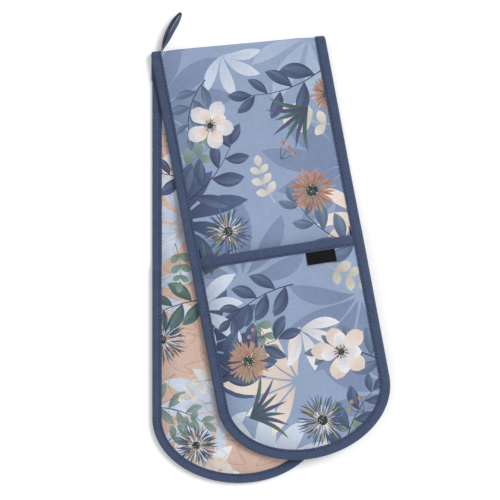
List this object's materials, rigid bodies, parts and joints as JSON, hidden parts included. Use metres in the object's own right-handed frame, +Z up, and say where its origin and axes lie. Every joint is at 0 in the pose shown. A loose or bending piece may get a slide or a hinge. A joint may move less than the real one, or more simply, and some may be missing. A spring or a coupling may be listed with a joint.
{
  "type": "double oven glove",
  "caption": "Long padded strip folded in half, with a hand pocket at each rounded end, bound edges, a hanging loop at the fold and a small bare label.",
  "frame": {"origin": "on the table, under the middle of the rear leg's pocket panel", "axes": "+Y runs up the rear leg from its toe to the fold, +X is to the right seen from above, +Z is up"},
  "size_m": [0.2468, 0.4904, 0.0297],
  "materials": {
    "printed_blue_cloth": "matt printed cotton, blue ground",
    "printed_peach_cloth": "matt printed cotton, peach ground",
    "cotton_wadding": "soft needled wadding",
    "plain_lining": "matt plain cotton",
    "navy_binding": "matt bias-cut cotton",
    "black_woven_label": "slightly glossy woven ribbon",
    "navy_thread": "polyester thread"
  },
  "bodies": {
    "rear_leg": {"rear_reverse_cloth": "printed_peach_cloth", "rear_wadding": "cotton_wadding", "rear_outer_cloth": "printed_blue_cloth", "rear_pocket_lining": "plain_lining", "rear_pocket_wadding": "cotton_wadding", "rear_pocket_cloth": "printed_blue_cloth", "rear_mouth_binding": "navy_binding", "rear_edge_binding": "navy_binding", "rear_bar_tack_left": "navy_thread", "rear_bar_tack_right": "navy_thread"},
    "front_leg": {"front_reverse_cloth": "printed_peach_cloth", "front_wadding": "cotton_wadding", "front_outer_cloth": "printed_blue_cloth", "front_pocket_lining": "plain_lining", "front_pocket_wadding": "cotton_wadding", "front_pocket_cloth": "printed_blue_cloth", "front_mouth_binding": "navy_binding", "front_edge_binding": "navy_binding", "front_bar_tack_left": "navy_thread", "front_bar_tack_right": "navy_thread"},
    "crease": {"fold_reverse_cloth": "printed_peach_cloth", "fold_wadding": "cotton_wadding", "fold_outer_cloth": "printed_blue_cloth", "fold_binding_left": "navy_binding", "fold_binding_right": "navy_binding"},
    "hanging_loop": {"hanging_loop": "navy_binding"},
    "label": {"label": "black_woven_label"}
  },
  "joints": [
    {"name": "fold_open", "type": "hinge", "parent": "rear_leg", "child": "front_leg", "pos_m": [0, 0.3435, 0.00535], "axis": [-0.9956, -0.0932, 0], "range_deg": [0, 175], "deforming": ["fold_reverse_cloth", "fold_wadding", "fold_outer_cloth", "fold_binding_left", "fold_binding_right"]},
    {"name": "crease_turn", "type": "hinge", "parent": "rear_leg", "child": "crease", "pos_m": [0, 0.3435, 0.00535], "axis": [-0.9956, -0.0932, 0], "range_deg": [0, 87.5], "deforming": ["fold_reverse_cloth", "fold_wadding", "fold_outer_cloth", "fold_binding_left", "fold_binding_right"]},
    {"name": "loop_swing", "type": "hinge", "parent": "crease", "child": "hanging_loop", "pos_m": [-0.07831, 0.34247, 0.00495], "axis": [0, 0, 1], "range_deg": [-30, 86]},
    {"name": "label_flip", "type": "hinge", "parent": "front_leg", "child": "label", "pos_m": [0.06954, 0.12949, 0.0291], "axis": [-0.9875, -0.1546, 0.0311], "range_deg": [0, 100]}
  ],
  "couplings": [
    {"joint": "crease_turn", "follows": "fold_open", "ratio": 0.5}
  ]
}
